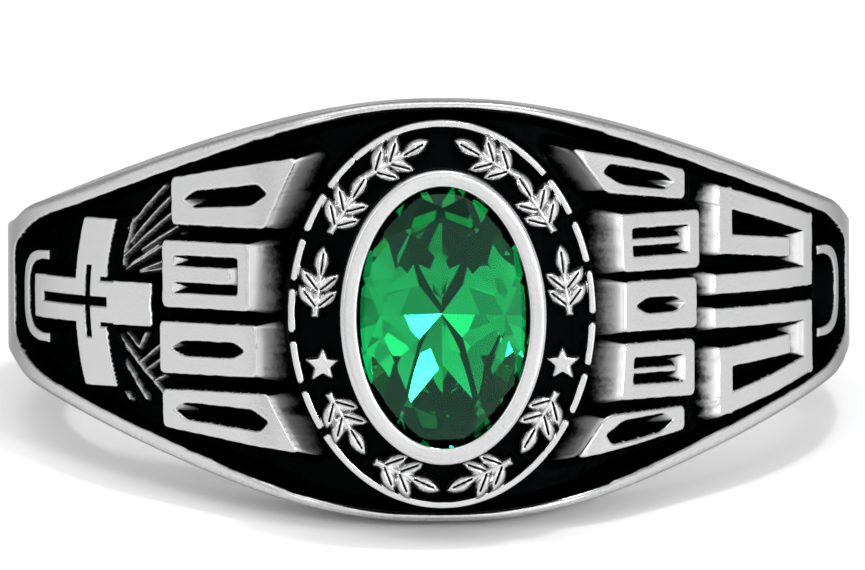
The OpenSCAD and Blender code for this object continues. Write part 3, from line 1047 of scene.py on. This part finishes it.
# %% Raise the plaque
round_steps = 980
band_rows = 46
steep_rows = 20
steep_share = 0.3
past_bezel = 1.06
wall_rows = 13
edge_drop = 0.06
motif_soft = 0.02
motif_wobble = 0.006
motif_edge = 0.01
ground_bump = 0.012
bump_from = 0.2
dome_h = 0.05
dome_edge = 0.1
vein_depth = 0.09
vein_half = 0.032
vein_start = 1.3
vein_fade = 0.03
vein_black = 0.9
band_black = 1.3
wall_top_black = 0.55
wall_black_by_mm = 0.8
wall_foot_h = 9.9
wall_lean = 0.04
under_reach = (0.93, 0.95)


def plaque_rows():
    """Rows of the plaque's band, from the edge of its top to just under the bezel, with the cosine and
    sine of each row's angle.
    """
    angle = np.linspace(0, 2 * math.pi, round_steps, endpoint=False)[:, None]
    cos, sin = np.cos(angle), np.sin(angle)
    rest = np.linspace(steep_share, past_bezel, band_rows - steep_rows + 1)[1:]
    share = np.concatenate([np.linspace(0, steep_share, steep_rows), rest])[None, :]
    x = mix(plaque_w, bezel_w, share) / 2 * cos
    width = mix(plaque_l, bezel_l, share) / 2 * sin
    speed = np.hypot(plaque_w / 2 * sin, plaque_l / 2 * cos)
    in_by = share * (plaque_w - bezel_w) / 2
    slope = np.clip((in_by - dash_w) / ((plaque_w - bezel_w) / 2 - dash_w), 0, 1)
    ground = plaque_h - edge_drop + (plaque_slope + edge_drop) * slope
    bumps = ground_bump * grain(x, width, 0.0, 0.13, 11) * np.clip((in_by - bump_from) * 10, 0, 1)
    ground = ground + bumps
    dash = to_dashes(angle, in_by, speed) + motif_wobble * grain(x, width, 0.0, 0.2, 12)
    dash_rise = dash_h + edge_drop - walled(dash, dash_h + edge_drop, motif_soft)
    shape, veins, star_arms = band_motifs(x, width)
    shape = shape + motif_wobble * grain(x, width, 0.0, 0.15, 13)
    tall = plaque_h + leaf_h - ground
    rise_by = tall - walled(shape, tall, motif_soft)
    # The stars and what lies close to them stay flat
    dome = dome_h * np.clip(1 + shape / dome_edge, 0, 1) ** 2 * (star_arms > star_r)
    cut = vein_depth * np.clip(1 - veins / vein_half, 0, 1)
    inside = shape < motif_edge
    rise_by = rise_by - np.where(inside, dome + cut, 0)
    height = ground + np.maximum(rise_by, dash_rise)
    share_up = np.clip(np.maximum(rise_by / tall, dash_rise / (dash_h + edge_drop)), 0, 1)
    tarnish = np.clip((1 - share_up) * band_black, 0, 1)
    in_vein = np.clip(vein_start - veins / vein_fade, 0, 1) * vein_black
    tarnish = np.maximum(tarnish, np.where(inside, in_vein, 0))
    return x, width, height, tarnish, cos, sin


*band, cos, sin = plaque_rows()
wall_h = np.linspace(wall_foot_h, plaque_h - edge_drop, wall_rows)[None, :-1] + 0 * cos
lean = wall_lean * (plaque_h - wall_h)
wall_tarnish = np.clip(wall_top_black + (plaque_h - wall_h) * wall_black_by_mm, 0, 1)
wall = [(plaque_w / 2 + lean) * cos, (plaque_l / 2 + lean) * sin, wall_h, wall_tarnish]
under = [bezel_w / 2 * under_reach[0] * cos, bezel_l / 2 * under_reach[1] * sin]
under += [wall_foot_h + 0 * cos, 1 + 0 * cos]
# Each row of the plaque is its wall, its band and its underside in turn
x, width, height, tarnish = [np.concatenate(parts, axis=1) for parts in zip(wall, band, under)]
plaque = new_piece("plaque", in_scene(x, height, width), loop_faces(*x.shape, True), tarnish=tarnish)
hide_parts("ring_body")
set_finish(plaque, "oxidised_silver")

# %% [markdown]
# ## The bezel
# The bezel is a plain wall round the stone whose lip is burnished over the stone's edge. Its section
# is one line of offsets and heights: up the outside, over the rounded top, down inside the lip, out
# to the seat and down the dark well behind the stone. The line is swept round the oval.

# %% Sweep the bezel round the stone
stone_w = 4.5
stone_l = 6.7
lip_reach = 0.12
lip_h = 0.2
bezel_top = plaque_h + 1.4
girdle_h = 13.2427
stone_depth = 2.2
seat_gap = 0.04
top_r = 0.11
lip_r = 0.06
wall_marks = (10.7, 12.2, 12.7, 13.2)
top_marks = (0.18, 0.25, 0.3)
well_in = 0.35
cup_in = 0.3
bezel_steps = 320
seat_h = girdle_h - 0.28


def rounded_corner(at_off, at_h, r, start_deg, end_deg, count):
    """Points of a rounded corner, as offsets inward and heights."""
    turns = np.radians(np.linspace(start_deg, end_deg, count))
    return [(at_off - r * math.cos(a), at_h + r * math.sin(a)) for a in turns]


opening = bezel_w / 2 - stone_w / 2 + lip_reach
seat_off = bezel_w / 2 - stone_w / 2 - seat_gap
well_off = bezel_w / 2 - stone_w / 2 + well_in
cup_off = bezel_w / 2 - cup_in
well_h = girdle_h - stone_depth - 3 * seat_gap
outline = [(0.0, mark) for mark in wall_marks]
outline += rounded_corner(top_r, bezel_top - top_r, top_r, 0, 90, 7)
outline += [(off, bezel_top) for off in top_marks]
outline += rounded_corner(opening - lip_r, bezel_top - lip_r, lip_r, 90, 180, 6)
outline += [(opening, bezel_top - lip_h), (seat_off, bezel_top - lip_h - 0.02), (seat_off, seat_h)]
outline += [(well_off, girdle_h - 0.3), (well_off, girdle_h - 0.6), (cup_off, well_h)]
# Deep tarnish at the wall's foot, none over the top, painted shade growing round the lip's inner edge,
# full in the seat, slight down in the well
outline_tarnish_and_shade = [0.9, 0.8, 0.35, 0.1] + [0.0] * 12 + [0.1, 0.2, 0.4, 0.6] + [1.0] * 4 + [0.2] * 2
angle = np.linspace(0, 2 * math.pi, bezel_steps, endpoint=False)[:, None]
off, height = np.array(outline).T[:, None, :]
height = height + 0 * angle
x = (bezel_w / 2 - off) * np.cos(angle)
width = (bezel_l / 2 - off) * np.sin(angle)
# Round the inner edge of the lip these values are painted shade
tarnish = np.array(outline_tarnish_and_shade)[None, :] + 0 * angle
faces = loop_faces(*x.shape, True)
count = x.shape[1]
faces = [face for face in faces if not {face[0] % count, face[2] % count} == {0, count - 1}]
faces.append([k * count + count - 1 for k in range(len(angle))])
faces.append([k * count for k in range(len(angle))][::-1])
bezel = new_piece("bezel", in_scene(x, height, width), faces, tarnish=tarnish)
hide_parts("ring_body")
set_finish(bezel, "oxidised_silver")

# %% [markdown]
# ## Oxidised silver
# Polished silver mirrors its surroundings, and the blackening between the shapes is a thin layer of
# dark sulphide. One metal shader does both: its colour and roughness follow the tarnish kept on the
# points, and noise breaks up the border between them, because a brush and a wheel never stop on a
# straight line. Two shaders could be mixed instead, but one exports better.

# %% Mix the silver
def feed(tree, made, inputs):
    """Set a node's inputs to values, or link them where the value is another node's output."""
    for name, value in inputs.items():
        if isinstance(value, bpy.types.NodeSocket):
            tree.links.new(value, made.inputs[name])
        else:
            made.inputs[name].default_value = value


def node(tree, kind, gives, inputs=None, **settings):
    """One output of a new node. The nodes stand in a row in the editor."""
    made = tree.nodes.new("ShaderNode" + kind)
    made.location = (220 * len(tree.nodes) - 3000, 0)
    for name, value in settings.items():
        setattr(made, name, value)
    feed(tree, made, inputs or {})
    return made.outputs[gives]


def between(tree, share, low, high):
    """A colour that runs from the low one to the high one as the share grows."""
    colour = node(tree, "ValToRGB", "Color", {"Fac": share})
    colour.node.color_ramp.elements[0].color = low
    colour.node.color_ramp.elements[1].color = high
    return colour


def new_finish(name, inputs):
    """A material, its node tree and its shader, with the shader's own sockets set."""
    finish = bpy.data.materials.new(name)
    finish.use_nodes = True
    shader = finish.node_tree.nodes["Principled BSDF"]
    feed(finish.node_tree, shader, inputs)
    return finish, finish.node_tree, shader


def silver_finish():
    """Polished silver where the tarnish is nothing, and matt black where it is one."""
    sockets = {"Metallic": 1.0, "Specular Tint": (0.4, 0.4, 0.4, 1)}
    finish, tree, shader = new_finish("oxidised_silver_finish", sockets)
    place = node(tree, "TexCoord", "Object")
    # The tarnish kept on the points is blackening, and round the bezel's inner lip it is painted shade
    tarnish = node(tree, "Attribute", "Fac", attribute_name="tarnish")
    grit = {"Vector": place, "Scale": 9000.0, "Detail": 4.0, "Roughness": 0.65}
    speck = node(tree, "TexNoise", "Fac", grit)
    centred = node(tree, "Math", "Value", {0: speck, 1: 0.5}, operation="SUBTRACT")
    scaled = node(tree, "Math", "Value", {0: centred, 1: 0.4}, operation="MULTIPLY")
    blend = node(tree, "Math", "Value", {0: tarnish, 1: scaled}, operation="ADD")
    border = {"Value": blend, "From Min": 0.18, "From Max": 0.62}
    black = node(tree, "MapRange", "Result", border, interpolation_type="SMOOTHSTEP")
    colour = between(tree, black, (0.53, 0.53, 0.535, 1), (0.0015, 0.0018, 0.002, 1))
    cloud = node(tree, "TexNoise", "Fac", {"Vector": place, "Scale": 700.0, "Detail": 3.0})
    rubbed = {"Value": cloud, "From Min": 0.3, "From Max": 0.7, "To Min": 0.14, "To Max": 0.24}
    polish = node(tree, "MapRange", "Result", rubbed)
    matt = node(tree, "Attribute", "Fac", attribute_name="matt")
    worn = node(tree, "Mix", "Result", {"Factor": matt, "A": polish, "B": 0.62}, data_type="FLOAT")
    rough = node(tree, "Mix", "Result", {"Factor": black, "A": worn, "B": 0.55}, data_type="FLOAT")
    bump = node(tree, "Bump", "Normal", {"Height": speck, "Distance": 0.00002, "Strength": 0.25})
    feed(tree, shader, {"Base Color": colour, "Roughness": rough, "Normal": bump})
    return finish


silver = silver_finish()
for piece in [o for o in bpy.data.objects if o.get("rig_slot") == "oxidised_silver"]:
    piece.data.materials.append(silver)
print("Silver on", silver.users, "meshes")

# %% [markdown]
# ## The stone
# A lapidary holds a rough stone against a turning wheel and grinds one flat facet after another, each
# at its own index round the stone and its own slope. The same is done here: an oval block is cut by one
# plane for each facet, and what is left is the stone. The lower facets lie in three rings and grow
# flatter inward and towards the ends, so they meet in a short keel, and most of the light that enters
# the table is thrown back out of it in shards.

# %% Grind the stone
table_h = 13.86
girdle_top = 13.38
oval_sides = 96
crown_inset = 0.9
flatter_ends = 2.0
on_plane = 1e-5
# Slope in degrees, number of facets, the share of a step by which they are turned, how far in and at
# what height they start, and whether they lie under the girdle
FACETS = [
    (40, 16, 0.5, 0, girdle_top, False),
    (33, 8, 0, 0, girdle_top, False),
    (50, 16, 0, 0, girdle_h, True),
    (46, 16, 0.5, 0, girdle_h, True),
    (42, 8, 0.5, 0, girdle_h, True),
    (20, 8, 0.5, crown_inset, table_h, False),
]


def oval_reach(a):
    """How far the girdle's oval reaches in a direction."""
    return math.hypot(stone_w / 2 * math.cos(a), stone_l / 2 * math.sin(a))


def grind(block, slope, a, reach_out, at_height, down):
    """Cut the block by one facet through a place at its side, and close the cut."""
    lean = math.radians(slope)
    facet = Vector((math.sin(lean) * math.cos(a), math.sin(lean) * math.sin(a), math.cos(lean)))
    place = Vector((reach_out * math.cos(a), reach_out * math.sin(a), at_height))
    if down:
        facet.z = -facet.z
    parts = block.verts[:] + block.edges[:] + block.faces[:]
    cut = bmesh.ops.bisect_plane(
        block, geom=parts, plane_co=place, plane_no=facet, clear_outer=True, dist=on_plane
    )
    rim = [part for part in cut["geom_cut"] if isinstance(part, bmesh.types.BMEdge)]
    if rim:
        bmesh.ops.contextual_create(block, geom=rim)


def ground_stone():
    """The stone as it leaves the wheel: an oval block, cut by every facet in turn."""
    block = bmesh.new()
    turns = [math.tau * k / oval_sides for k in range(oval_sides)]
    rings = []
    for z in (girdle_h - 2 * stone_depth, table_h):
        ring = [(stone_w / 2 * math.cos(a), stone_l / 2 * math.sin(a), z) for a in turns]
        rings.append([block.verts.new(place) for place in ring])
    block.faces.new(rings[0][::-1])
    block.faces.new(rings[1])
    for k in range(oval_sides):
        after = (k + 1) % oval_sides
        block.faces.new((rings[0][k], rings[0][after], rings[1][after], rings[1][k]))
    for slope, count, turned, inset, start_h, down in FACETS:
        for k in range(count):
            a = math.tau * (k + turned) / count
            flatter = flatter_ends * math.sin(a) ** 2 if down else 0
            grind(block, slope - flatter, a, oval_reach(a) - inset, start_h, down)
    bmesh.ops.recalc_face_normals(block, faces=block.faces[:])
    return block


block = ground_stone()
block.verts.index_update()
corners = np.array([v.co[:] for v in block.verts])
facets = [[v.index for v in face.verts] for face in block.faces]
places = in_scene(corners[:, 0], corners[:, 2], corners[:, 1])
cut_stone = new_piece("cut_stone", places, facets, smooth=False)
block.free()
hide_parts("stone")
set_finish(cut_stone, "green_stone")

# %% [markdown]
# Nearly all the colour of a green stone comes from its depth: the longer light runs inside, the
# darker and purer it gets. So the body refracts almost clearly, and what is inside it absorbs red
# first, then blue. A colour painted on the facets would look flat from every side but one.

# %% Colour the stone
def stone_finish():
    """A clear body that absorbs red first and blue next."""
    sockets = {"Roughness": 0.0, "IOR": 1.7, "Specular Tint": (0.2, 0.58, 0.37, 1)}
    sockets["Transmission Weight"] = 1.0
    finish, tree, shader = new_finish("green_stone_finish", sockets)
    place = node(tree, "TexCoord", "Object")
    cloud = node(tree, "TexNoise", "Fac", {"Vector": place, "Scale": 500.0})
    feed(tree, shader, {"Base Color": between(tree, cloud, (0.94, 0.97, 0.95, 1), (1, 1, 1, 1))})
    body = {"Color": (0.13, 0.82, 0.6, 1), "Density": 1180.0}
    depth = node(tree, "VolumeAbsorption", "Volume", body)
    feed(tree, tree.nodes["Material Output"], {"Volume": depth})
    return finish


gem = frame["nodes"]["stone"]
green = stone_finish()
for piece in (gem, cut_stone):
    piece.data.materials.clear()
    piece.data.materials.append(green)
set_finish(gem, "green_stone")
print("The stone has", len(facets), "faces")

# %% [markdown]
# ## Floor and light
# The ring lies on a plain pale floor in a bright, even studio. Polished metal shows what stands
# around it, so the evenness of the light is what makes the tops of the relief read as one flat grey.
# A large soft lamp over the ring grounds it with a soft shadow. A faceted stone needs the opposite:
# each shard looks at one small part of the room, so two small bright lamps stand where two of the
# shards look, and those flash pale.

# %% Lay the floor and light the scene
reach = 1.5
floor_mesh = bpy.data.meshes.new("floor")
floor_corners = [(-reach, -reach, 0), (reach, -reach, 0), (reach, reach, 0), (-reach, reach, 0)]
floor_mesh.from_pydata(floor_corners, [], [(0, 1, 2, 3)])
floor = put_in_scene("floor", floor_mesh)
paper = new_finish("paper", {"Base Color": (0.96, 0.96, 0.96, 1), "Roughness": 0.8})[0]
floor.data.materials.append(paper)

world = bpy.data.worlds.new("studio")
world.use_nodes = True
sky = world.node_tree
way_out = node(sky, "TexCoord", "Generated")
panels = node(sky, "TexNoise", "Fac", {"Vector": way_out, "Scale": 2.6, "Detail": 0.0})
patchy = {"Value": panels, "From Min": 0.35, "From Max": 0.65, "To Min": 0.7, "To Max": 1.3}
level = node(sky, "MapRange", "Result", patchy)
behind = node(sky, "VectorMath", "Value", {0: way_out, 1: (0, 0.75, 0.65)}, operation="DOT_PRODUCT")
dimmer = {"Value": behind, "From Min": -1.0, "To Min": 1.3, "To Max": 0.7}
dimmed = node(sky, "MapRange", "Result", dimmer)
strength = node(sky, "Math", "Value", {0: level, 1: dimmed}, operation="MULTIPLY")
feed(sky, sky.nodes["Background"], {"Strength": strength, "Color": (1, 1, 1, 1)})
bpy.context.scene.world = world


def soft_lamp(name, place, aim_at, size, power):
    """A rectangle of light that looks at a place."""
    light = bpy.data.lights.new(name, "AREA")
    light.shape = "RECTANGLE"
    light.size = size[0]
    light.size_y = size[1]
    light.energy = power
    lamp = put_in_scene(name, light)
    lamp.location = place
    lamp.rotation_mode = "QUATERNION"
    lamp.rotation_quaternion = (Vector(aim_at) - Vector(place)).to_track_quat("-Z", "Y")


ring_middle = (0, 0, 0.006)
soft_lamp("over_lamp", (-0.05, -0.05, 0.25), (0, 0, 0), (0.2, 0.2), 0.14)
soft_lamp("window_lamp", (-0.12, -0.21, 0.09), ring_middle, (0.05, 0.08), 0.03)
soft_lamp("side_lamp", (0.13, -0.21, 0.045), ring_middle, (0.06, 0.09), 0.045)
soft_lamp("right_flash", (0.0813, -0.2118, 0.078), ring_middle, (0.03, 0.035), 0.2)
soft_lamp("high_flash", (0.047, -0.043, 0.25), ring_middle, (0.025, 0.025), 0.13)
bpy.context.scene.view_settings.view_transform = "Standard"
print("Lamps:", [light.name for light in bpy.data.lights])
